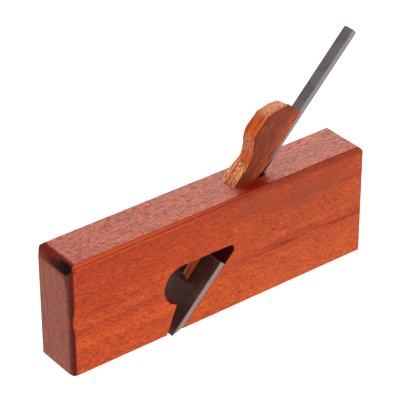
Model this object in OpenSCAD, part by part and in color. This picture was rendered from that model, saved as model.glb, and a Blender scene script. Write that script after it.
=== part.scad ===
// Wooden rabbet plane: a stock with an open-sided throat, a T-shaped iron and a hooked wedge.
// Millimetres. The sole lies in the plane Z = 0, with the origin under the middle of the stock.
// +X points to the heel, -X to the toe, and +Z up. The cheeks are the two faces across Y.

/* [Stock] */
// Length of the stock, toe to heel
stock_l = 180; // [170:5:200]
// Width of the stock, cheek to cheek
stock_w = 28.8; // [24:0.2:34]
// Height of the stock above the sole
stock_h = 61.6; // [58:0.2:66]
// Chamfer along the two long top edges
top_chamfer = 2.4; // [1:0.2:4]
// Reach of the toe's rounded top edge along the top
toe_round = 5.8; // [3:0.2:9]
// Reach of the toe's rounded top edge down the toe
toe_drop = 7.6; // [3:0.2:9]
// Chamfer of the toe's two upright edges
toe_chamfer = 3.2; // [1:0.1:4]
// Radius of the heel's top edge
heel_round = 3; // [1:0.2:6]
// Chamfer of the heel's two upright edges
heel_chamfer = 0.6; // [0.5:0.1:3]

/* [Bed and throat] */
// Angle between the bed and the sole
bed_angle = 46; // [45:0.5:48]
// Place of the bed's foot along the sole
bed_x = -25; // [-26:0.2:-20]
// Gap in the sole between the bed's foot and the front wall
mouth_l = 9.4; // [8.5:0.1:11]
// Slope of the throat's front wall above the sole
front_wall_angle = 68.6; // [64:0.2:74]
// Height of the throat's flat top above the sole
throat_top = 37; // [35:0.5:38]
// Radius of the round part of the throat
throat_r = 10.9; // [10:0.1:12]
// Place of the round part's centre along the sole
throat_x = -24.6; // [-25.4:0.1:-23.4]
// Radius of the throat's pointed end, between its top and the bed
throat_tip_r = 2.7; // [1.5:0.1:3.5]

/* [Mortise] */
// Width of the slot for the wedge and the tang
mortise_w = 10.6; // [10.6:0.1:12]
// Distance of the slot's middle from the middle of the stock
mortise_shift = 0.6; // [0:0.1:1.5]
// Clearance between faces that slide on each other
slip = 0.05; // [0.02:0.01:0.1]

/* [Iron] */
// Thickness of the iron
iron_t = 3.4; // [2.8:0.1:3.5]
// Length of the iron, edge to end of tang
iron_l = 174.4; // [160:0.2:190]
// Length of the wide part, edge to shoulders
blade_l = 43.6; // [40:0.2:44]
// Distance that the edge has passed the bed's foot
iron_set = 5.7; // [4:0.1:8]
// Width of the tang
tang_w = 6.4; // [5:0.2:7]
// Chamfer on the two corners of the tang's end
tang_chamfer = 0.8; // [0.2:0.1:1.5]
// Angle of the ground bevel
bevel_angle = 26; // [25:1:35]

/* [Wedge] */
// Width of the wedge in its slot
wedge_w = 10.4; // [9:0.1:10.4]
// Taper between the wedge's back and front
wedge_angle = 4; // [3.6:0.1:4.6]
// Distance of the wedge's lower end from the bed's foot, along the bed
nose_a = 23; // [20:0.5:26]
// Height of the lower end's front corner above the bed
nose_n = 11.4; // [11:0.1:12]
// Slope of the cut across the lower end
nose_slope = 23; // [0:1:28]
// Distance of the hook's peak from the bed's foot, along the bed
hook_a = 104; // [102:0.2:106]
// Height of the hook's peak above the bed
hook_n = 23.2; // [22:0.2:24]
// Radius of the hook
hook_r = 15; // [13:0.5:17]
// Radius of the finger hollow under the hook
waist_r = 13.5; // [13:0.5:15]
// Distance of the wedge's top end from the bed's foot, along the bed
head_a = 120.4; // [118.4:0.2:122]
// Wood pared from the far side, from nothing at the slot to this much at the top end
head_relief = 1.5; // [0:0.1:2.5]

/* [Hidden] */
$fn = 96;
// Overshoot of the cutting shapes past the faces that they cut
over = 2;
// Slopes of the hook's flanks on its lower and upper side
hook_rise = 45;
hook_fall = 42;
// Radius of the corner between the hook's upper flank and the wedge's end
head_round = 2.5;
// The iron is a hair narrower than the stock, so that it lies flush in both cheeks
blade_w = stock_w - 2 * slip;
// Foot of the front wall, and the height of the round part's centre
front_x = bed_x - mouth_l;
throat_z = throat_top - throat_r;
// Middle of the throat's pointed end, tangent to the flat top and to the bed
tip_reach = throat_tip_r / tan(bed_angle / 2);
tip_x = bed_x + throat_top / tan(bed_angle) - tip_reach;
tip_z = throat_top - throat_tip_r;
// Where the bed leaves the top of the stock, measured along the bed
bed_l = stock_h / sin(bed_angle);
// The two sides of the wedge
wedge_near = mortise_shift - wedge_w / 2;
wedge_far = mortise_shift + wedge_w / 2;

// Points of an arc about c, from angle from to angle to
function arc(c, r, from, to, steps = 14) =
    [for (i = [0:steps]) c + r * [cos(from + (to - from) * i / steps), sin(from + (to - from) * i / steps)]];

// Front line of the wedge: its height above the bed at distance a along the bed
function front_n(a) = nose_n + (a - nose_a) * tan(wedge_angle);

// Places a shape drawn in bed coordinates: X up along the bed, Z square to it
module on_bed()
    translate([bed_x, 0, 0]) rotate([0, -bed_angle, 0]) children();

// Extrudes an X-Z outline across the stock
module across(w, shift = 0)
    translate([0, shift, 0]) rotate([90, 0, 0]) linear_extrude(w, center = true) children();

// Waste outside a rounded corner whose sides run towards -X and +Y from c, over rx by ry
module corner_waste(c, rx, ry)
    translate(c)
        difference() {
            translate([-rx - over, 0]) square([rx + over, ry + over]);
            scale([1, ry / rx]) circle(rx);
        }

// Side view of the bare stock
module stock_side()
    difference() {
        translate([-stock_l / 2, 0]) square([stock_l, stock_h]);
        corner_waste([-stock_l / 2 + toe_round, stock_h - toe_drop], toe_round, toe_drop);
        mirror([1, 0])
            corner_waste([-stock_l / 2 + heel_round, stock_h - heel_round], heel_round, heel_round);
    }

// Plan of the bare stock
module stock_plan() {
    x = stock_l / 2;
    y = stock_w / 2;
    polygon([
        [-x, -y + toe_chamfer], [-x + toe_chamfer, -y], [x - heel_chamfer, -y], [x, -y + heel_chamfer],
        [x, y - heel_chamfer], [x - heel_chamfer, y], [-x + toe_chamfer, y], [-x, y - toe_chamfer]
    ]);
}

// End view of the bare stock
module stock_end() {
    y = stock_w / 2;
    polygon([
        [-y, 0], [y, 0], [y, stock_h - top_chamfer], [y - top_chamfer, stock_h],
        [top_chamfer - y, stock_h], [-y, stock_h - top_chamfer]
    ]);
}

// Side view of the throat, from the mouth up to the round part and the pointed end
module throat_side() {
    translate([throat_x, throat_z]) circle(throat_r);
    translate([tip_x, tip_z]) circle(throat_tip_r);
    polygon([
        [front_x - over / tan(front_wall_angle), -over],
        [front_x + throat_z / tan(front_wall_angle), throat_z],
        [throat_x, throat_top],
        [tip_x, throat_top],
        [tip_x + throat_tip_r * sin(bed_angle), tip_z - throat_tip_r * cos(bed_angle)],
        [bed_x - over / tan(bed_angle), -over]
    ]);
}

// Side view of the slot, in bed coordinates
module mortise_side() {
    top_a = bed_l + 2 * hook_n;
    polygon([
        [nose_a + over, 0], [top_a, 0],
        [top_a, front_n(top_a) + slip], [nose_a + over, front_n(nose_a + over) + slip]
    ]);
}

// One block of wood, cut through by the throat and the slot
module stock()
    color([0.74, 0.31, 0.17])
        difference() {
            intersection() {
                across(stock_w + over) stock_side();
                linear_extrude(stock_h) stock_plan();
                rotate([90, 0, 90]) linear_extrude(stock_l, center = true) stock_end();
            }
            across(stock_w + over) throat_side();
            on_bed() across(mortise_w, mortise_shift) mortise_side();
        }

// Face view of the iron: the wide part, square shoulders and the tang
module iron_face() {
    y = blade_w / 2;
    t = tang_w / 2;
    shoulder = blade_l - iron_set;
    end = iron_l - iron_set;
    polygon([
        [-iron_set, -y], [shoulder, -y], [shoulder, -t], [end - tang_chamfer, -t], [end, tang_chamfer - t],
        [end, t - tang_chamfer], [end - tang_chamfer, t], [shoulder, t], [shoulder, y], [-iron_set, y]
    ]);
}

// One piece of steel, bevel down, with its back on the bed
module iron()
    color([0.47, 0.44, 0.44])
        on_bed()
            difference() {
                translate([0, 0, slip]) linear_extrude(iron_t - slip) iron_face();
                across(stock_w + over)
                    polygon([
                        [-iron_set, iron_t],
                        [(iron_t + over) / tan(bevel_angle) - iron_set, -over],
                        [-iron_set - over, -over],
                        [-iron_set - over, iron_t]
                    ]);
            }

// Side view of the wedge, in bed coordinates
module wedge_side() {
    back_n = iron_t + slip;
    // Centres of the hook and of the finger hollow, and the way from one to the other
    hook_c = [hook_a, hook_n - hook_r];
    rise = [-sin(hook_rise), cos(hook_rise)];
    waist_c = hook_c + (hook_r + waist_r) * rise;
    // Where the hollow starts on the straight front line
    nose = [nose_a, nose_n];
    along = [cos(wedge_angle), sin(wedge_angle)];
    out = [-sin(wedge_angle), cos(wedge_angle)];
    half_chord = sqrt(max(0, waist_r ^ 2 - ((waist_c - nose) * out) ^ 2));
    start = nose + ((waist_c - nose) * along - half_chord) * along;
    start_angle = atan2(start.y - waist_c.y, start.x - waist_c.x);
    // Corner between the hook's upper flank and the end
    flank = hook_c + hook_r * [sin(hook_fall), cos(hook_fall)];
    head_x = head_a - head_round;
    head_y = flank.y - (head_x - flank.x) * tan(hook_fall) - head_round / cos(hook_fall);
    polygon(concat(
        [[head_a, back_n], [nose_a - (nose_n - back_n) * tan(nose_slope), back_n], nose],
        arc(waist_c, waist_r, start_angle, hook_rise - 90),
        arc(hook_c, hook_r, 90 + hook_rise, 90 - hook_fall),
        arc([head_x, head_y], head_round, 90 - hook_fall, 0, 6)
    ));
}

// Face view of the wedge: full width in the slot, and pared thinner from there to the top end
module wedge_face()
    polygon([
        [0, wedge_near], [head_a, wedge_near], [head_a, wedge_far - head_relief],
        [bed_l - nose_n, wedge_far], [0, wedge_far]
    ]);

// One piece of wood, with its back on the iron and its front on the slot's front wall
module wedge()
    color([0.74, 0.38, 0.17])
        on_bed()
            intersection() {
                across(stock_w) wedge_side();
                linear_extrude(2 * hook_n) wedge_face();
            }

stock();
iron();
wedge();
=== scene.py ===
import math

import bmesh
import bpy
from mathutils import Matrix, Vector, noise


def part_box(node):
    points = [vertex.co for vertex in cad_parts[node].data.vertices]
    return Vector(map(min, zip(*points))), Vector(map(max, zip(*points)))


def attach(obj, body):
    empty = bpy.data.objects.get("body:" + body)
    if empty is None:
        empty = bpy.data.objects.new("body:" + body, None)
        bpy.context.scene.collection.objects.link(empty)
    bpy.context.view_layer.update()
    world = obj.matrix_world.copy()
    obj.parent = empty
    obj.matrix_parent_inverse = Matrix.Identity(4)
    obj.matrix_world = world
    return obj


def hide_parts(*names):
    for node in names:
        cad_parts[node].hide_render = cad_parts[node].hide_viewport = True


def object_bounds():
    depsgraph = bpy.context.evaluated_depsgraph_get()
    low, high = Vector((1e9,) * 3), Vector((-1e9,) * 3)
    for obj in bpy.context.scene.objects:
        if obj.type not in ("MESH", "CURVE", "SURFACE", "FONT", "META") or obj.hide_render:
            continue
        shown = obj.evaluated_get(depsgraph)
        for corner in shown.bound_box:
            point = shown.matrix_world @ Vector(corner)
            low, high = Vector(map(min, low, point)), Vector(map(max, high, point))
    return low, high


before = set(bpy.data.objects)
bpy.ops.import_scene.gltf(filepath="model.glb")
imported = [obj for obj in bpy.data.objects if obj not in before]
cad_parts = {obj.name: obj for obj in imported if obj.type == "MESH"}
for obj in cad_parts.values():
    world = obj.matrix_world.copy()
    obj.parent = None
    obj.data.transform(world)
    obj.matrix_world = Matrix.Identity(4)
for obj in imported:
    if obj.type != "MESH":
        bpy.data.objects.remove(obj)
cad_low, cad_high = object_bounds()

# A wooden rabbet plane. The frame's X runs from toe to heel, Z goes up from the sole, and the
# near cheek faces -Y. Lengths are written in millimetres times MM.
MM = 0.001

# Outer sizes, from the frame
STOCK_LOW, STOCK_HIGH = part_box("stock")
TOE_X = STOCK_LOW.x
HEEL_X = STOCK_HIGH.x
TOP_Z = STOCK_HIGH.z
CHEEK_Y = STOCK_HIGH.y
EDGE_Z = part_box("iron")[0].z
EDGE_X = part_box("iron")[0].x

# Edges of the stock
TOP_CHAMFER = 2.4 * MM
TOE_CHAMFER = 3.2 * MM
# The toe's near chamfer is cut by hand: its width on the toe's face, and its crown's distance
# from both faces
NEAR_WIDTH = 3.9 * MM
CROWN = 0.96 * MM
HEEL_CHAMFER = 0.6 * MM
TOE_ROUND = 5.8 * MM
TOE_DROP = 7.6 * MM
HEEL_ROUND = 3 * MM

# Bed and throat
BED_ANGLE = math.radians(46)
BED_X = -25 * MM
MOUTH_X = -34.4 * MM
FRONT_WALL_ANGLE = math.radians(68.6)
THROAT_TOP = 37 * MM
THROAT_R = 10.9 * MM
THROAT_C = (-24.6 * MM, THROAT_TOP - THROAT_R)
TIP_R = 2.7 * MM
TIP_C = (BED_X + THROAT_TOP / math.tan(BED_ANGLE) - TIP_R / math.tan(BED_ANGLE / 2), THROAT_TOP - TIP_R)

# Slot, iron and wedge, in bed coordinates: a runs up along the bed and n stands square to it
SLOT_Y = 0.6 * MM
SLOT_W = 10.6 * MM
SLIP = 0.05 * MM
IRON_T = 3.4 * MM
EDGE_A = -5.7 * MM
SHOULDER_A = 37.9 * MM
TANG_END_A = 168.7 * MM
TANG_HALF = 3.2 * MM
GRIND_ANGLE = math.radians(26)
WEDGE_HALF = 5.2 * MM
WEDGE_TAPER = math.tan(math.radians(4))
NOSE_A = 23 * MM
NOSE_N = 11.4 * MM
NOSE_SLOPE = math.tan(math.radians(23))
HOOK = (104 * MM, 8.2 * MM)
HOOK_R = 15 * MM
WAIST_R = 13.5 * MM
HOOK_RISE = math.radians(45)
HOOK_FALL = math.radians(42)
HEAD_A = 120.4 * MM
HEAD_ROUND = 2.5 * MM
HEAD_RELIEF = 1.5 * MM
NECK_A = 88.7 * MM
NECK_RELIEF = 0.5 * MM
# The hook's worn outline: the two ends of its flat top, and a corner on the slope to the head
HOOK_TOP = ((98.8 * MM, 22.3 * MM), (109.6 * MM, 22.5 * MM), (115.2 * MM, 18.7 * MM))
# How much shorter the wedge is on its far side than on its near side
HEAD_SKEW = 1.2 * MM


# ---------------------------------------------------------------- shapes

def on_bed(a, y, n):
    """The point a along the bed, n above it and y across, in the frame."""
    x = BED_X + a * math.cos(BED_ANGLE) - n * math.sin(BED_ANGLE)
    return Vector((x, y, a * math.sin(BED_ANGLE) + n * math.cos(BED_ANGLE)))


def arc(centre, radius, start, end, steps):
    """Points of a circle from angle start to angle end, both included. Angles are in radians."""
    points = []
    for i in range(steps + 1):
        turn = start + (end - start) * i / steps
        points.append((centre[0] + radius * math.cos(turn), centre[1] + radius * math.sin(turn)))
    return points


def meets_circle(foot, heading, centre, radius):
    """How far along a line from foot its first crossing of the circle is."""
    gap = (foot[0] - centre[0], foot[1] - centre[1])
    along = gap[0] * math.cos(heading) + gap[1] * math.sin(heading)
    square = along ** 2 - gap[0] ** 2 - gap[1] ** 2 + radius ** 2
    return -along - math.sqrt(square)


def loft(name, rings):
    """A closed solid through rings of points, with both ends capped."""
    mesh = bmesh.new()
    loops = [[mesh.verts.new(p) for p in ring] for ring in rings]
    count = len(rings[0])
    for low, high in zip(loops, loops[1:]):
        for i in range(count):
            j = (i + 1) % count
            mesh.faces.new((low[i], low[j], high[j], high[i]))
    mesh.faces.new(loops[0])
    mesh.faces.new(loops[-1])
    bmesh.ops.recalc_face_normals(mesh, faces=mesh.faces)
    data = bpy.data.meshes.new(name)
    mesh.to_mesh(data)
    mesh.free()
    piece = bpy.data.objects.new(name, data)
    bpy.context.scene.collection.objects.link(piece)
    return piece


def modify(piece, kind, **settings):
    """Adds one modifier to a piece."""
    made = piece.modifiers.new(kind.lower(), kind)
    for key, value in settings.items():
        setattr(made, key, value)


def settle(piece):
    """Turns a piece's modifiers into its mesh."""
    bpy.context.view_layer.update()
    graph = bpy.context.evaluated_depsgraph_get()
    data = bpy.data.meshes.new_from_object(piece.evaluated_get(graph))
    old = piece.data
    piece.modifiers.clear()
    piece.data = data
    bpy.data.meshes.remove(old)


def carve(piece, *tools):
    """Cuts a piece with (operation, solid) pairs and removes the solids."""
    for operation, solid in tools:
        modify(piece, "BOOLEAN", operation=operation, object=solid, solver="EXACT")
    settle(piece)
    for _, solid in tools:
        data = solid.data
        bpy.data.objects.remove(solid)
        bpy.data.meshes.remove(data)


def smooth_faces(piece):
    """Shades every face smooth."""
    for face in piece.data.polygons:
        face.use_smooth = True


def ease_edges(piece, width, segments, weigh, least_angle=25):
    """Rounds sharp edges. weigh(edge, angle) gives each one's share of width, and angle is
    positive on an outer edge."""
    mesh = bmesh.new()
    mesh.from_mesh(piece.data)
    bmesh.ops.remove_doubles(mesh, verts=mesh.verts, dist=0.002 * MM)
    flat = math.radians(0.3)
    bmesh.ops.dissolve_limit(mesh, angle_limit=flat, verts=mesh.verts, edges=mesh.edges)
    bmesh.ops.recalc_face_normals(mesh, faces=mesh.faces)
    layer = mesh.edges.layers.float.new("bevel_weight_edge")
    for edge in mesh.edges:
        angle = math.degrees(edge.calc_face_angle_signed(0))
        edge[layer] = weigh(edge, angle) if abs(angle) > least_angle else 0
    mesh.to_mesh(piece.data)
    mesh.free()
    modify(
        piece, "BEVEL", width=width, segments=segments, limit_method="WEIGHT",
        use_clamp_overlap=False, offset_type="OFFSET",
    )
    modify(piece, "WEIGHTED_NORMAL", mode="FACE_AREA", weight=90, thresh=0.01, keep_sharp=False)
    smooth_faces(piece)
    settle(piece)


def stock_side():
    """Side outline of the stock: the sole, the throat, the heel and the toe."""
    reach = meets_circle((MOUTH_X, 0), FRONT_WALL_ANGLE, THROAT_C, THROAT_R)
    wall = (MOUTH_X + reach * math.cos(FRONT_WALL_ANGLE), reach * math.sin(FRONT_WALL_ANGLE))
    turn = math.atan2(wall[1] - THROAT_C[1], wall[0] - THROAT_C[0]) + 2 * math.pi
    quarter = math.pi / 2
    outline = [(TOE_X, 0), (MOUTH_X, 0)]
    outline += arc(THROAT_C, THROAT_R, turn, quarter, 40)
    outline += arc(TIP_C, TIP_R, quarter, BED_ANGLE - quarter, 18)
    outline += [(BED_X, 0), (HEEL_X, 0)]
    outline += arc((HEEL_X - HEEL_ROUND, TOP_Z - HEEL_ROUND), HEEL_ROUND, 0, quarter, 10)
    for x, z in arc((TOE_ROUND, -TOE_ROUND), TOE_ROUND, quarter, math.pi, 16):
        outline.append((TOE_X + x, TOP_Z + z * TOE_DROP / TOE_ROUND))
    return outline


def step(value, start, end):
    """A smooth step from nought to one as value goes from start to end."""
    share = min(1, max(0, (value - start) / (end - start)))
    return share * share * (3 - 2 * share)


def near_chamfer_width(z):
    """Width of the toe's near chamfer on the cheek: hand cut, with a narrow place low down."""
    ripple = 0.12 * MM * noise.noise(Vector((0, 0, z / (7 * MM))))
    narrow = 2.7 * MM * step(z, 41 * MM, 32 * MM)
    return 4.1 * MM - narrow + 1.8 * MM * step(z, 30.5 * MM, 23 * MM) + ripple


def stock_plan(z, past):
    """Plan outline of the stock at height z, with the end faces moved out by past."""
    near = near_chamfer_width(z)
    crown_x = min(CROWN, 0.4 * near)
    heel = HEEL_CHAMFER + past
    return [
        Vector((TOE_X + near, -CHEEK_Y, z)),
        Vector((HEEL_X - HEEL_CHAMFER, -CHEEK_Y, z)),
        Vector((HEEL_X + past, heel - CHEEK_Y, z)),
        Vector((HEEL_X + past, CHEEK_Y - heel, z)),
        Vector((HEEL_X - HEEL_CHAMFER, CHEEK_Y, z)),
        Vector((TOE_X + TOE_CHAMFER, CHEEK_Y, z)),
        Vector((TOE_X - past, CHEEK_Y - TOE_CHAMFER - past, z)),
        Vector((TOE_X - past, NEAR_WIDTH - CHEEK_Y, z)),
        Vector((TOE_X, NEAR_WIDTH - CHEEK_Y, z)),
        Vector((TOE_X + crown_x, CROWN - CHEEK_Y, z)),
    ]


def make_stock():
    """The wooden block: three outlines crossed, less the slot."""
    past = 4 * MM
    across = CHEEK_Y + past
    block = loft("stock_body", [[Vector((x, y, z)) for x, z in stock_side()] for y in (-across, across)])
    levels = [-past + i * MM for i in range(int((TOP_Z + 2 * past) / MM) + 1)]
    plan = loft("plan", [stock_plan(z, past) for z in levels])
    ridge = TOP_Z + CHEEK_Y - TOP_CHAMFER
    end = [(-across, -past), (across, -past), (across, ridge - across)]
    end += [(ridge - TOP_Z - past, TOP_Z + past), (TOP_Z + past - ridge, TOP_Z + past)]
    end.append((-across, ridge - across))
    end_xs = (TOE_X - 2 * past, HEEL_X + 2 * past)
    ends = loft("end", [[Vector((x, y, z)) for y, z in end] for x in end_xs])
    foot = NOSE_A + 2 * MM
    peak = 140 * MM
    side = [(foot, 0), (peak, 0), (peak, front_line(peak) + SLIP), (foot, front_line(foot) + SLIP)]
    half = SLOT_W / 2
    slot = loft("slot", [[on_bed(a, SLOT_Y + s * half, n) for a, n in side] for s in (-1, 1)])
    carve(block, ("INTERSECT", plan), ("INTERSECT", ends), ("DIFFERENCE", slot))
    ease_edges(block, 1 * MM, 4, stock_edge_share)
    # The rounding leaves a few points a hair outside the cheeks
    for vertex in block.data.vertices:
        vertex.co.y = min(CHEEK_Y, max(-CHEEK_Y, vertex.co.y))
    block.data.update()
    return block


def stock_edge_share(edge, angle):
    """How much each edge of the stock is rounded, as a share of one millimetre. The toe's
    hand-cut edge is left sharp about its narrow place."""
    if angle < 0:
        return 0
    middle = (edge.verts[0].co + edge.verts[1].co) / 2
    near_end = middle.x < TOE_X + 0.2 * MM or middle.x > HEEL_X - 0.2 * MM
    on_cheek = abs(middle.y) > CHEEK_Y - 0.02 * MM
    in_throat = MOUTH_X - 3 * MM < middle.x < TIP_C[0] + 4 * MM and middle.z < THROAT_TOP + MM
    if middle.z < 0.02 * MM:
        if near_end:
            return 0.75
        return 0.3 if on_cheek else 0.1
    if in_throat:
        return 0.3
    if abs(middle.y) < SLOT_Y + SLOT_W / 2 + MM and TOE_X / 2 < middle.x < 60 * MM:
        return 0.2
    if middle.x < TOE_X + 5 * MM:
        hand_cut = on_cheek and middle.y < 0 and 20 * MM < middle.z < 44 * MM
        return 0 if hand_cut else 0.55
    return 0.5


def front_line(a):
    """Height of the wedge's front above the bed."""
    return NOSE_N + (a - NOSE_A) * WEDGE_TAPER


def wedge_side():
    """Side outline of the wedge in bed coordinates: foot, front, finger hollow, hook and head."""
    back = IRON_T + SLIP
    reach = HOOK_R + WAIST_R
    waist = (HOOK[0] - reach * math.sin(HOOK_RISE), HOOK[1] + reach * math.cos(HOOK_RISE))
    lean = math.atan(WEDGE_TAPER)
    start = meets_circle((NOSE_A, NOSE_N), lean, waist, WAIST_R)
    meet = (NOSE_A + start * math.cos(lean), NOSE_N + start * math.sin(lean))
    turn = math.atan2(meet[1] - waist[1], meet[0] - waist[0])
    quarter = math.pi / 2
    flank = HOOK_TOP[-1]
    head_a = HEAD_A - HEAD_ROUND
    head_n = flank[1] - (head_a - flank[0]) * math.tan(HOOK_FALL) - HEAD_ROUND / math.cos(HOOK_FALL)
    outline = [(HEAD_A, back), (NOSE_A - (NOSE_N - back) * NOSE_SLOPE, back), (NOSE_A, NOSE_N)]
    outline += arc(waist, WAIST_R, turn, HOOK_RISE - quarter, 20)
    outline += arc(HOOK, HOOK_R, quarter + HOOK_RISE, quarter + HOOK_RISE - math.radians(14), 5)
    outline += HOOK_TOP
    outline += arc((head_a, head_n), HEAD_ROUND, quarter - HOOK_FALL, 0, 8)
    return outline


def wedge_far(a):
    """Far side of the wedge: full width in the slot, pared thinner at the neck and the head."""
    foot = TOP_Z / math.sin(BED_ANGLE) - NOSE_N
    neck = min(1, max(0, (a - foot) / (NECK_A - foot)))
    head = min(1, max(0, (a - NECK_A) / (HEAD_A - NECK_A)))
    return SLOT_Y + WEDGE_HALF - NECK_RELIEF * neck - (HEAD_RELIEF - NECK_RELIEF) * head


def make_wedge():
    """The wooden wedge, cut from its outline, rounded, and left a little uneven by hand."""
    near = SLOT_Y - WEDGE_HALF
    side = wedge_side()
    wide = SLOT_Y + WEDGE_HALF + 4 * MM
    body = loft("wedge_body", [[on_bed(a, y, n) for a, n in side] for y in (near, wide)])
    stations = [0, TOP_Z / math.sin(BED_ANGLE) - NOSE_N, NECK_A, HEAD_A - HEAD_SKEW]
    skew = HEAD_SKEW / (2 * WEDGE_HALF - HEAD_RELIEF)
    beyond = near - 20 * MM
    rings = []
    for n in (-10 * MM, 60 * MM):
        ring = [on_bed(a, wedge_far(a), n) for a in stations]
        ring += [on_bed(HEAD_A + skew * (near - beyond), beyond, n), on_bed(0, beyond, n)]
        rings.append(ring)
    face = loft("face", rings)
    carve(body, ("INTERSECT", face))
    ease_edges(body, 2 * MM, 5, wedge_edge_share)
    modify(body, "TRIANGULATE")
    modify(body, "REMESH", mode="VOXEL", voxel_size=0.38 * MM, use_smooth_shade=True)
    settle(body)
    spots = [(v.co.copy(), v.normal.copy()) for v in body.data.vertices]
    carved = [c for point, normal in spots for c in wedge_carved(point, normal)]
    body.data.vertices.foreach_set("co", carved)
    body.data.update()
    smooth_faces(body)
    return body


def wedge_edge_share(edge, angle):
    """How much each edge of the wedge is rounded, as a share of two millimetres."""
    if angle < 0:
        return 0
    middle = (edge.verts[0].co + edge.verts[1].co) / 2
    a, n = to_bed(middle)
    if n < IRON_T + 0.5 * MM:
        return 0.12
    if a < NOSE_A + 0.2 * MM:
        return 0.15
    if a < 60 * MM:
        return 0.5
    return 0.85


UP_FROM_BED = Vector((-math.sin(BED_ANGLE), 0, math.cos(BED_ANGLE)))


def to_bed(point):
    """The place of a point along the bed and its height above the bed."""
    x = point.x - BED_X
    a = x * math.cos(BED_ANGLE) + point.z * math.sin(BED_ANGLE)
    return a, point.z * math.cos(BED_ANGLE) - x * math.sin(BED_ANGLE)


def wedge_carved(point, normal):
    """Moves a point inwards a little where the wedge was shaped by hand."""
    a, n = to_bed(point)
    free = min(1, max(0, (a - 74 * MM) / (6 * MM)))
    clear = min(1, max(0, (n - IRON_T - MM) / (2 * MM)))
    broad = noise.noise(point / (5 * MM))
    fine = noise.noise(point / (1.7 * MM) + Vector((7, 3, 1)))
    depth = 0.16 * MM * (broad + 0.6) + 0.07 * MM * (fine + 0.5)
    moved = point - normal * max(0, depth) * free * clear
    hollow = math.exp(-(((a - 87.1 * MM) / (2.2 * MM)) ** 2)) * step(point.y, 0, 5 * MM)
    moved -= UP_FROM_BED * max(0, normal.dot(UP_FROM_BED)) * 1.3 * MM * hollow
    room = point.y - (SLOT_Y - WEDGE_HALF) + n - IRON_T - SLIP
    eased = max(0, 2.8 * MM - room) * step(a, 44 * MM, 38 * MM)
    return moved + (Vector((0, 1, 0)) + UP_FROM_BED) * eased / 2


def make_iron():
    """The steel iron: a wide part with a ground edge, square shoulders and a tang."""
    half = CHEEK_Y - SLIP
    nip = 0.8 * MM
    outline = [(EDGE_A, -half), (SHOULDER_A, -half), (SHOULDER_A, -TANG_HALF)]
    outline += [(TANG_END_A - nip, -TANG_HALF), (TANG_END_A, nip - TANG_HALF)]
    outline += [(a, -y) for a, y in reversed(outline)]
    iron = loft("iron_body", [[on_bed(a, y, n) for a, y in outline] for n in (SLIP, IRON_T)])
    mesh = bmesh.new()
    mesh.from_mesh(iron.data)
    edge = on_bed(EDGE_A, 0, IRON_T)
    along = on_bed(math.cos(GRIND_ANGLE), 0, -math.sin(GRIND_ANGLE)) - on_bed(0, 0, 0)
    away = along.cross(Vector((0, 1, 0)))
    if away.dot(on_bed(-1, 0, -1) - on_bed(0, 0, 0)) < 0:
        away.negate()
    parts = [*mesh.verts, *mesh.edges, *mesh.faces]
    cut = bmesh.ops.bisect_plane(mesh, geom=parts, plane_co=edge, plane_no=away, clear_outer=True)
    rim = [g for g in cut["geom_cut"] if isinstance(g, bmesh.types.BMEdge)]
    bmesh.ops.contextual_create(mesh, geom=rim)
    mesh.to_mesh(iron.data)
    mesh.free()
    ease_edges(iron, 0.3 * MM, 3, iron_edge_share, 15)
    return iron


def iron_edge_share(edge, angle):
    """How much each edge of the iron is rounded, as a share of 0.3 mm."""
    if angle < 0:
        return 0
    a, n = to_bed((edge.verts[0].co + edge.verts[1].co) / 2)
    if a < 6 * MM:
        return 0.15
    return 1 if a > SHOULDER_A + MM else 0.7


# ---------------------------------------------------------------- material nodes

# Colours of the stock's wood, low and high on the cheeks. The low one is paler: painted bounce light from the
# floor
LOW_WOOD_BOUNCE_LIT = (0.56, 0.077, 0.009)
HIGH_WOOD = (0.45, 0.048, 0.0055)


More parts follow.
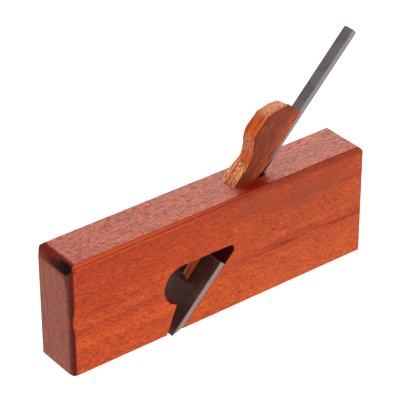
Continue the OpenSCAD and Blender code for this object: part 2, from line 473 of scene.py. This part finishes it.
class Graph:
    """One material's nodes, with a short call for each kind that is used here."""

    def __init__(self, name):
        self.material = bpy.data.materials.new(name)
        self.material.use_nodes = True
        self.tree = self.material.node_tree
        self.tree.nodes.clear()
        place = self.tree.nodes.new("ShaderNodeTexCoord")
        self.point = self.vector("SCALE", place.outputs["Object"], scale=1 / MM)
        self.x, self.y, self.z = self.split(self.point)
        self.normal = place.outputs["Normal"]

    def put(self, socket, value):
        """Links a socket's output, or sets a plain value."""
        if isinstance(value, bpy.types.NodeSocket):
            self.tree.links.new(value, socket)
        elif isinstance(value, tuple) and len(value) == 3 and socket.type == "RGBA":
            socket.default_value = (*value, 1)
        else:
            socket.default_value = value

    def math(self, operation, *values, clamp=False):
        made = self.tree.nodes.new("ShaderNodeMath")
        made.operation = operation
        made.use_clamp = clamp
        for socket, value in zip(made.inputs, values):
            self.put(socket, value)
        return made.outputs[0]

    def add(self, *values):
        total = values[0]
        for value in values[1:]:
            total = self.math("ADD", total, value)
        return total

    def times(self, *values):
        total = values[0]
        for value in values[1:]:
            total = self.math("MULTIPLY", total, value)
        return total

    def less(self, first, second):
        return self.math("SUBTRACT", first, second)

    def vector(self, operation, first, second=None, scale=None):
        made = self.tree.nodes.new("ShaderNodeVectorMath")
        made.operation = operation
        self.put(made.inputs[0], first)
        if second is not None:
            self.put(made.inputs[1], second)
        if scale is not None:
            self.put(made.inputs["Scale"], scale)
        return made.outputs[0]

    def split(self, value):
        made = self.tree.nodes.new("ShaderNodeSeparateXYZ")
        self.put(made.inputs[0], value)
        return made.outputs[0], made.outputs[1], made.outputs[2]

    def join(self, x, y, z):
        made = self.tree.nodes.new("ShaderNodeCombineXYZ")
        for socket, value in zip(made.inputs, (x, y, z)):
            self.put(socket, value)
        return made.outputs[0]

    def noise(self, place, scale=1.0, detail=2.0, roughness=0.5, distortion=0.0):
        made = self.tree.nodes.new("ShaderNodeTexNoise")
        self.put(made.inputs["Vector"], place)
        self.put(made.inputs["Scale"], scale)
        self.put(made.inputs["Detail"], detail)
        self.put(made.inputs["Roughness"], roughness)
        self.put(made.inputs["Distortion"], distortion)
        return made.outputs[0]

    def ramp(self, value, low, high, start=0.0, end=1.0):
        """A smooth step from start to end as value goes from low to high."""
        made = self.tree.nodes.new("ShaderNodeMapRange")
        made.interpolation_type = "SMOOTHSTEP"
        for socket, number in zip(made.inputs, (value, low, high, start, end)):
            self.put(socket, number)
        return made.outputs[0]

    def mix(self, share, first, second, blend="MIX"):
        made = self.tree.nodes.new("ShaderNodeMix")
        made.data_type = "RGBA"
        made.blend_type = blend
        self.put(made.inputs[0], share)
        self.put(made.inputs[6], first)
        self.put(made.inputs[7], second)
        return made.outputs[2]

    def spot(self, first, second):
        """A soft round patch: one where both values are nought, fading as they grow."""
        square = self.add(self.times(first, first), self.times(second, second))
        return self.math("EXPONENT", self.times(square, -1.0))

    def blob(self, x, z, half_x, half_z):
        """A soft patch on the cheeks about (x, z), in millimetres."""
        across = self.times(self.less(self.x, x), 1 / half_x)
        return self.spot(across, self.times(self.less(self.z, z), 1 / half_z))

    def blob_on_top(self, x, y, half_x, half_y):
        """A soft patch on the top face about (x, y), in millimetres."""
        across = self.times(self.less(self.x, x), 1 / half_x)
        patch = self.spot(across, self.times(self.less(self.y, y), 1 / half_y))
        return self.times(patch, self.ramp(self.z, TOP_Z / MM - 0.6, TOP_Z / MM - 0.2))

    def finish(self, colour, roughness, height, depth, **fixed):
        """The shader: colour, roughness and bump from nodes, and the rest set on its own sockets."""
        shader = self.tree.nodes.new("ShaderNodeBsdfPrincipled")
        self.put(shader.inputs["Base Color"], colour)
        self.put(shader.inputs["Roughness"], roughness)
        for key, value in fixed.items():
            self.put(shader.inputs[key.replace("_", " ")], value)
        bump = self.tree.nodes.new("ShaderNodeBump")
        bump.inputs["Strength"].default_value = 1
        bump.inputs["Distance"].default_value = depth
        self.put(bump.inputs["Height"], height)
        self.put(shader.inputs["Normal"], bump.outputs[0])
        out = self.tree.nodes.new("ShaderNodeOutputMaterial")
        self.put(out.inputs[0], shader.outputs[0])
        return self.material


def stock_wood():
    """Oiled red-brown wood with fine lengthwise grain, and darker chamfers and end rounds."""
    g = Graph("stock_wood")
    drift = g.noise(g.join(g.times(g.x, 0.012), g.times(g.y, 0.05), g.times(g.z, 0.03)), detail=1)
    level = g.add(g.z, g.times(drift, 5.0))
    bands = g.noise(g.join(g.times(g.x, 0.006), g.times(g.y, 0.2), g.times(level, 0.22)), detail=3)
    fibre = g.noise(g.join(g.times(g.x, 0.09), g.times(g.y, 1.3), g.times(level, 1.5)), detail=3)
    fleck = g.noise(
        g.join(g.times(g.x, 0.42), g.times(g.y, 1.6), g.times(level, 1.8)), detail=1, roughness=0.7,
    )
    pores = g.noise(g.join(g.times(g.x, 0.34), g.times(g.y, 1.5), g.times(level, 1.5)), detail=2)
    mottle = g.noise(g.join(g.times(g.x, 0.09), g.times(g.y, 0.1), g.times(g.z, 0.12)), detail=3)
    dashes = g.ramp(g.add(pores, g.times(mottle, 0.15), g.ramp(g.x, 10, -50, 0, 0.03)), 0.61, 0.72)

    # The cheeks are painted paler towards the sole: painted bounce light from the floor.
    height_on_cheek = g.add(g.ramp(g.z, 8, 58), g.times(g.less(drift, 0.5), 0.6))
    colour = g.mix(height_on_cheek, LOW_WOOD_BOUNCE_LIT, HIGH_WOOD)
    along = g.mix(g.ramp(g.x, -60, 50), (0.95, 0.84, 0.6), (0.86, 0.92, 1.0))
    colour = g.mix(1.0, colour, along, "MULTIPLY")
    tone = g.add(g.times(bands, 0.4), g.times(fibre, 0.35), g.times(mottle, 0.35))
    shade = g.mix(g.ramp(tone, 0.38, 0.75), (0.8, 0.7, 0.7), (1.15, 1.25, 1.3))
    colour = g.mix(1.0, colour, shade, "MULTIPLY")
    speck = g.mix(g.ramp(fleck, 0.3, 0.7), (0.8, 0.6, 0.55), (1.2, 1.4, 1.5))
    colour = g.mix(1.0, colour, speck, "MULTIPLY")
    colour = g.mix(g.times(dashes, 0.6), colour, (0.2, 0.022, 0.01))

    colour = cheek_figure(g, colour, fibre, mottle, level)
    nx, ny, nz = g.split(g.normal)
    side = g.math("ABSOLUTE", ny)
    front = g.times(nx, -1.0)
    colour = g.mix(g.ramp(front, 0.85, 0.95), colour, end_grain(g))
    spots = g.noise(g.join(g.times(g.x, 0.3), g.times(g.y, 0.7), g.times(g.z, 0.8)), detail=4, roughness=0.8)
    strong = g.mix(g.ramp(spots, 0.3, 0.7), (0.6, 0.35, 0.3), (1.35, 1.8, 2.1))
    colour = g.mix(g.ramp(nz, 0.8, 0.95), colour, g.mix(1.0, colour, strong, "MULTIPLY"))
    edge_tint = g.mix(g.ramp(g.x, -60, 50), (0.62, 0.07, 0.014), (0.26, 0.022, 0.008))
    colour = g.mix(top_chamfer(g, side, nz), colour, edge_tint)
    colour, painted_shade_cap = toe_corners(g, colour, front, side, nz)
    colour = throat_painted_shade(g, colour, side, nz)
    # Darker, patchy lines along the rounded edges, except at the toe.
    broadest = g.math("MAXIMUM", g.math("MAXIMUM", g.math("ABSOLUTE", nx), side), g.math("ABSOLUTE", nz))
    edges = g.times(g.ramp(broadest, 0.985, 0.93), g.ramp(broadest, 0.78, 0.88))
    edge_darkening = g.times(edges, g.ramp(mottle, 0.35, 0.6), g.ramp(g.x, -82, -79))
    colour = g.mix(g.times(edge_darkening, 0.3), colour, (0.24, 0.028, 0.01))
    # Painted shadow and reflection of the wedge: a dark red patch on the top face beside its near side.
    painted_wedge_shadow = g.times(g.blob_on_top(23.4, -9, 10, 4.8), 0.95)
    colour = g.mix(painted_wedge_shadow, colour, (0.25, 0.003, 0.0005))

    height = g.add(g.times(fibre, 0.5), g.times(dashes, -0.7), g.times(mottle, 0.4), g.times(fleck, 0.5))
    roughness = g.add(0.3, g.times(fibre, 0.12), g.times(dashes, 0.15), g.times(painted_shade_cap, 0.45))
    return g.finish(
        colour, roughness, height, 0.06 * MM, Specular_IOR_Level=0.15, Specular_Tint=(1, 0.82, 0.66, 1),
    )


def cheek_figure(g, colour, fibre, mottle, level):
    """Brown clouds high up towards the heel, and darker growth rings across the lower half."""
    cloud = g.add(
        g.times(g.blob(19, 53.7, 10, 5), 0.7), g.times(g.blob(47, 47, 13, 6), 0.7),
        g.times(g.blob(66, 51.5, 16, 5), 0.5),
    )
    cloud = g.times(cloud, g.ramp(mottle, 0.1, 0.5), g.ramp(g.y, -12, 10, 0.9, 0.3))
    colour = g.mix(cloud, colour, (0.22, 0.036, 0.016))
    height = g.add(level, g.times(g.less(fibre, 0.5), 2.0))
    reach = g.ramp(g.x, 0, 24)
    ring = g.times(g.ramp(height, 25.6, 26.6), g.ramp(height, 34, 28), reach)
    colour = g.mix(g.times(ring, g.ramp(fibre, 0.75, 0.3), 0.95), colour, (0.3, 0.02, 0.005))
    line = g.times(g.ramp(height, 25.4, 26.2), g.ramp(height, 28.4, 26.8), reach, g.ramp(fibre, 0.7, 0.4))
    colour = g.mix(g.times(line, 0.8), colour, (0.2, 0.014, 0.004))
    at_toe = g.times(g.ramp(g.x, -30, -50), g.ramp(fibre, 0.62, 0.4))
    low = g.times(g.ramp(height, 26.6, 27.4), g.ramp(height, 28.8, 27.8))
    high = g.times(g.ramp(height, 33.9, 34.9), g.ramp(height, 36.8, 35.6))
    return g.mix(g.times(at_toe, g.add(low, high), 0.6), colour, (0.22, 0.012, 0.004))


def end_grain(g):
    """The toe's face: dull end grain, speckled, with faint upright streaks."""
    streak = g.noise(g.join(g.times(g.x, 0.3), g.times(g.y, 0.5), g.times(g.z, 0.07)), detail=2)
    grain = g.noise(g.join(g.times(g.x, 0.3), g.times(g.y, 0.7), g.times(g.z, 0.5)), detail=3, roughness=0.75)
    tone = g.add(g.times(grain, 0.75), g.times(streak, 0.25))
    return g.mix(g.ramp(tone, 0.36, 0.64), (0.14, 0.019, 0.008), (0.31, 0.062, 0.026))


def top_chamfer(g, side, nz):
    """One on the chamfers along the top edges."""
    facing = g.times(g.add(side, nz), math.sqrt(0.5))
    return g.times(g.ramp(facing, 0.84, 0.95), g.ramp(g.x, -89, -84), 0.7)


def toe_corners(g, colour, front, side, nz):
    """Darkens the toe's upright chamfers and its round top edge, where oil soaked in. Each chamfer's
    facet beside the cheek is painted darker than the one beside the toe, and the round edge is
    painted near black towards its near end and lower side: both are painted shade. Also gives
    where the round edge is nearly black, its painted shade."""
    stain = g.noise(g.point, scale=0.3, detail=3)
    at_toe = g.ramp(g.x, TOE_X / MM + 7, TOE_X / MM + 9, 1, 0)
    upright = g.math("MINIMUM", g.ramp(front, 0.1, 0.22), g.ramp(side, 0.1, 0.24))
    level = g.ramp(nz, 0.3, 0.15)
    outer = g.mix(stain, (0.068, 0.0035, 0.0015), (0.12, 0.01, 0.005))
    inner = g.mix(stain, (0.05, 0.002, 0.001), (0.1, 0.006, 0.003))
    # Painted shade: the chamfer's facet beside the cheek is darker than the facet beside the toe.
    strip = g.mix(g.ramp(side, 0.5, 0.8), outer, inner)
    colour = g.mix(g.times(upright, level, at_toe), colour, strip)
    rounded = g.math("MINIMUM", g.ramp(front, 0.14, 0.34), g.ramp(nz, 0.14, 0.3))
    red = g.mix(stain, (0.12, 0.006, 0.003), (0.24, 0.02, 0.008))
    reach = g.ramp(g.add(g.y, g.times(stain, 6.0)), 12, -8)
    # Painted shade: near black towards the near end and the lower side of the round edge.
    lower = g.times(g.ramp(g.add(front, g.times(reach, 0.35)), 0.72, 0.98), g.math("POWER", reach, 0.6))
    cap = g.mix(lower, red, (0.004, 0.001, 0.001))
    rounded = g.times(rounded, at_toe)
    return g.mix(rounded, colour, cap), g.times(rounded, lower)


def throat_painted_shade(g, colour, side, nz):
    """Darkens the walls inside the throat: painted shade in the recess."""
    along = g.times(g.ramp(g.x, -36, -35), g.ramp(g.x, 13, 11))
    up = g.times(g.ramp(g.z, THROAT_TOP / MM + 1, THROAT_TOP / MM + 0.2), g.ramp(g.z, 0, 0.6))
    wall = g.times(along, up, g.ramp(side, 0.7, 0.4))
    dark = g.mix(1.0, colour, (0.22, 0.18, 0.3), "MULTIPLY")
    return g.mix(wall, colour, dark)


def bed_axes(g):
    """Distances along the bed and square to it, in millimetres."""
    cos, sin = math.cos(BED_ANGLE), math.sin(BED_ANGLE)
    x = g.less(g.x, BED_X / MM)
    a = g.add(g.times(x, cos), g.times(g.z, sin))
    n = g.less(g.times(g.z, cos), g.times(x, sin))
    nx, _, nz = g.split(g.normal)
    facing = g.less(g.times(nz, cos), g.times(nx, sin))
    return a, n, facing


def wedge_wood():
    """The wedge's paler wood, streaked along its length, with torn grain on its carved front and
    painted shadow, near black, on its lower end inside the throat."""
    g = Graph("wedge_wood")
    a, n, facing = bed_axes(g)
    streak = g.noise(g.join(g.times(a, 0.05), g.times(g.y, 0.9), g.times(n, 0.8)), detail=4)
    fibre = g.noise(g.join(g.times(a, 0.12), g.times(g.y, 1.8), g.times(n, 1.7)), detail=2)
    speckle = g.noise(g.join(g.times(a, 0.45), g.times(g.y, 1.0), g.times(n, 1.0)), detail=4, roughness=0.75)
    colour = g.mix(g.ramp(streak, 0.3, 0.7), (0.14, 0.015, 0.006), (0.23, 0.034, 0.01))
    patch = g.noise(g.join(g.times(a, 0.16), g.times(g.y, 0.3), g.times(n, 0.3)), detail=3, roughness=0.65)
    colour = g.mix(g.times(g.ramp(patch, 0.46, 0.62), 0.6), colour, (0.24, 0.058, 0.019))
    by_iron = g.times(g.ramp(n, 10, 5.5), g.ramp(fibre, 0.42, 0.56))
    colour = g.mix(g.times(by_iron, 0.7), colour, (0.55, 0.09, 0.018))
    colour = g.mix(g.times(g.ramp(fibre, 0.52, 0.4), 0.5), colour, (0.1, 0.011, 0.004))
    front = g.ramp(facing, 0.25, 0.7)
    # Painted shade: a thin dark line along the near rounded edge between the front and the side.
    ridge = g.times(g.ramp(facing, 0.1, 0.3), g.ramp(facing, 0.6, 0.4), g.ramp(g.y, 0, -2))
    height = g.add(fibre, g.times(speckle, front, 1.2))
    colour = g.mix(front, colour, carved_front(g, a, streak, speckle))
    _, ny, _ = g.split(g.normal)
    # Painted shadow: the wedge's lower end inside the throat is painted near black.
    in_throat = g.times(g.ramp(a, 46, 40), g.ramp(g.math("ABSOLUTE", ny), 0.9, 0.6))
    colour = g.mix(in_throat, colour, (0.04, 0.01, 0.004))
    colour = g.mix(g.times(ridge, 0.65), colour, (0.07, 0.01, 0.004))
    return g.finish(
        colour, g.add(0.42, g.times(fibre, 0.2)), height, 0.15 * MM,
        Specular_IOR_Level=0.2, Specular_Tint=(1, 0.82, 0.66, 1),
    )


def carved_front(g, a, streak, speckle):
    """The wedge's front: pale torn grain on the slopes, and orange at the neck and on the hook."""
    torn = g.add(g.ramp(a, 86, 83), g.times(g.ramp(a, 89, 91), g.ramp(a, 98, 95)), g.ramp(a, 106, 110))
    torn = g.times(torn, g.ramp(g.add(g.times(streak, 0.6), g.times(speckle, 0.4)), 0.4, 0.54))
    orange = g.mix(g.ramp(streak, 0.35, 0.65), (0.42, 0.04, 0.006), (0.72, 0.13, 0.016))
    pale = g.mix(g.ramp(speckle, 0.4, 0.6), (0.54, 0.14, 0.03), (0.88, 0.38, 0.15))
    tint = g.mix(g.ramp(a, 84, 90), (1.12, 1.17, 1.22), (0.7, 0.6, 0.58))
    pale = g.mix(1.0, pale, g.mix(g.ramp(a, 98, 106), tint, (0.85, 0.8, 0.8)), "MULTIPLY")
    colour = g.mix(torn, orange, pale)
    cracks = g.times(g.ramp(speckle, 0.45, 0.36), g.ramp(a, 100, 94))
    return g.mix(g.times(cracks, 0.75), colour, (0.16, 0.03, 0.01))


def iron_steel():
    """Dull grey steel, finely scratched along its length. Its broad faces are painted paler than its
    sides, as lit and shaded copies of one steel, and its wide part's face is painted brown: a
    painted reflection of the shaded wood in the throat."""
    g = Graph("iron_steel")
    a, n, facing = bed_axes(g)
    scratch = g.noise(g.join(g.times(a, 0.25), g.times(g.y, 3.0), g.times(n, 5.0)), detail=3, roughness=0.6)
    cloud = g.noise(g.point, scale=0.12, detail=4)
    _, ny, _ = g.split(g.normal)
    side = g.ramp(g.math("ABSOLUTE", ny), 0.5, 0.8)
    colour = g.mix(g.ramp(cloud, 0.35, 0.65), (0.4, 0.335, 0.345), (0.5, 0.42, 0.43))
    tang = g.ramp(a, 60, 66)
    # Painted shade: the sides are a darker grey than the broad faces, lit and shaded copies of one steel.
    colour = g.mix(side, colour, g.mix(tang, (0.235, 0.18, 0.163), (0.225, 0.196, 0.188)))
    # Painted reflection: the tang's sides are darker low down, where they mirror the shaded top face beside
    # the wedge.
    colour = g.mix(g.times(side, tang, g.ramp(a, 112, 84), 0.6), colour, (0.1, 0.08, 0.065))
    colour = g.mix(g.times(g.ramp(scratch, 0.55, 0.75), 0.4), colour, (0.46, 0.42, 0.4))
    # Painted reflection: the wide part's face is brown and less metallic, standing in for the shaded throat
    # it mirrors.
    painted_reflection = g.times(g.ramp(facing, 0.5, 0.8), g.ramp(a, 38, 36.5), g.ramp(a, -6, 1, 0.6, 1))
    stain = g.mix(g.ramp(cloud, 0.3, 0.7), (0.13, 0.055, 0.035), (0.2, 0.09, 0.06))
    colour = g.mix(g.times(painted_reflection, 0.95), colour, stain)
    roughness = g.add(0.2, g.times(scratch, 0.14), g.times(painted_reflection, 0.15))
    metal = g.less(1.0, g.times(painted_reflection, 0.5))
    return g.finish(colour, roughness, g.add(scratch, g.times(cloud, 0.4)), 0.03 * MM, Metallic=metal)


def floor_paper():
    """Pale studio paper, very slightly mottled."""
    g = Graph("floor_paper")
    tone = g.noise(g.point, scale=0.01, detail=3)
    tooth = g.noise(g.point, scale=0.8, detail=2)
    colour = g.mix(tone, (0.83, 0.83, 0.83), (0.86, 0.86, 0.86))
    return g.finish(colour, g.add(0.85, g.times(tooth, 0.05)), tooth, 0.02 * MM, Specular_IOR_Level=0.0)


# ---------------------------------------------------------------- floor, light and camera

def make_floor():
    """A wide pale disc that touches the iron's edge and the heel's lower edge."""
    tilt = math.atan2(0 - EDGE_Z, HEEL_X - EDGE_X)
    centre = Vector((EDGE_X, 0, EDGE_Z))
    mesh = bmesh.new()
    bmesh.ops.create_circle(mesh, cap_ends=True, radius=9, segments=96)
    place = Matrix.Translation(centre) @ Matrix.Rotation(-tilt, 4, "Y")
    bmesh.ops.transform(mesh, matrix=place, verts=mesh.verts)
    data = bpy.data.meshes.new("floor")
    mesh.to_mesh(data)
    mesh.free()
    floor = bpy.data.objects.new("floor", data)
    bpy.context.scene.collection.objects.link(floor)
    floor.data.materials.append(floor_paper())
    return floor


def towards(azimuth, elevation):
    """The direction from the object to a lamp. Azimuth 0 is in front of the near cheek, and 90 at
    the heel."""
    turn, rise = math.radians(azimuth), math.radians(elevation)
    return Vector((math.sin(turn) * math.cos(rise), -math.cos(turn) * math.cos(rise), math.sin(rise)))


def place_lamp(data, back, distance, lit):
    """Puts a lamp where back points, aimed at the object. It lights only the things in lit."""
    lamp = bpy.data.objects.new(data.name, data)
    lamp.location = Vector((0, 0, 0.04)) + back * distance
    lamp.rotation_mode = "QUATERNION"
    lamp.rotation_quaternion = back.to_track_quat("Z", "Y")
    lamp.visible_camera = False
    lamp.light_linking.receiver_collection = lit
    bpy.context.scene.collection.objects.link(lamp)
    return lamp


def softbox(name, azimuth, elevation, distance, width, height, power, lit):
    """A soft rectangular lamp."""
    data = bpy.data.lights.new(name, "AREA")
    data.shape = "RECTANGLE"
    data.size = width
    data.size_y = height
    data.energy = power
    place_lamp(data, towards(azimuth, elevation), distance, lit)


def floor_lamp(lit):
    """Even light over the whole floor, in which the plane throws no shadow."""
    data = bpy.data.lights.new("floor_lamp", "SUN")
    data.energy = 4.2
    data.angle = math.radians(60)
    lamp = place_lamp(data, towards(0, 88), 3, lit)
    lamp.light_linking.blocker_collection = lit


def make_world():
    """Even surrounding light: pale at the horizon, dimmer overhead."""
    world = bpy.data.worlds.new("studio")
    world.use_nodes = True
    tree = world.node_tree
    shade = tree.nodes["Background"]
    place = tree.nodes.new("ShaderNodeTexCoord")
    split = tree.nodes.new("ShaderNodeSeparateXYZ")
    fall = tree.nodes.new("ShaderNodeMapRange")
    fall.inputs["From Min"].default_value = 0.08
    fall.inputs["From Max"].default_value = 0.4
    fall.inputs["To Min"].default_value = 0.9
    fall.inputs["To Max"].default_value = 0.25
    tree.links.new(place.outputs["Generated"], split.inputs[0])
    tree.links.new(split.outputs[2], fall.inputs["Value"])
    tree.links.new(fall.outputs[0], shade.inputs["Strength"])
    shade.inputs["Color"].default_value = (1, 1, 1, 1)
    bpy.context.scene.world = world


def make_camera():
    """The camera: a long lens from the toe's near side, above the plane."""
    centre = (cad_low + cad_high) / 2
    aim = centre + Vector((-4.06 * MM, 0, -2.07 * MM))
    azimuth, elevation, roll = math.radians(-37.47), math.radians(32.21), math.radians(-0.17)
    back = Vector((
        math.sin(azimuth) * math.cos(elevation),
        -math.cos(azimuth) * math.cos(elevation),
        math.sin(elevation),
    ))
    data = bpy.data.cameras.new("camera")
    data.sensor_width = 36
    data.lens = 181.8
    data.clip_start = 0.05
    data.clip_end = 30
    camera = bpy.data.objects.new("camera", data)
    camera.location = aim + back * 979.7 * MM
    right = Vector((math.cos(azimuth), math.sin(azimuth), 0))
    up = back.cross(right)
    turned_right = right * math.cos(roll) + up * math.sin(roll)
    turned_up = up * math.cos(roll) - right * math.sin(roll)
    pose = Matrix((turned_right, turned_up, back)).transposed()
    camera.rotation_mode = "QUATERNION"
    camera.rotation_quaternion = pose.to_quaternion()
    bpy.context.scene.collection.objects.link(camera)
    bpy.context.scene.camera = camera


def make_studio(floor, pieces):
    """Soft light: one broad lamp for the floor, and three for the plane."""
    make_world()
    on_floor = bpy.data.collections.new("lit_floor")
    on_floor.objects.link(floor)
    on_plane = bpy.data.collections.new("lit_plane")
    for piece in pieces:
        on_plane.objects.link(piece)
    floor_lamp(on_floor)
    softbox("front_right", 35, 30, 2.0, 1.0, 0.8, 21, on_plane)
    softbox("back_right", 143, 33, 1.8, 1.2, 1.2, 27, on_plane)
    softbox("left", 270, 30, 2.0, 0.9, 0.9, 12, on_plane)
    view = bpy.context.scene.view_settings
    view.view_transform = "Standard"
    view.look = "None"
    view.exposure = 0
    view.gamma = 1


make_camera()
pieces = []
for make, material, body in (
    (make_stock, stock_wood, "stock"),
    (make_wedge, wedge_wood, "wedge"),
    (make_iron, iron_steel, "iron"),
):
    piece = make()
    piece.data.materials.clear()
    piece.data.materials.append(material())
    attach(piece, body)
    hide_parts(body)
    pieces.append(piece)
make_studio(make_floor(), pieces)
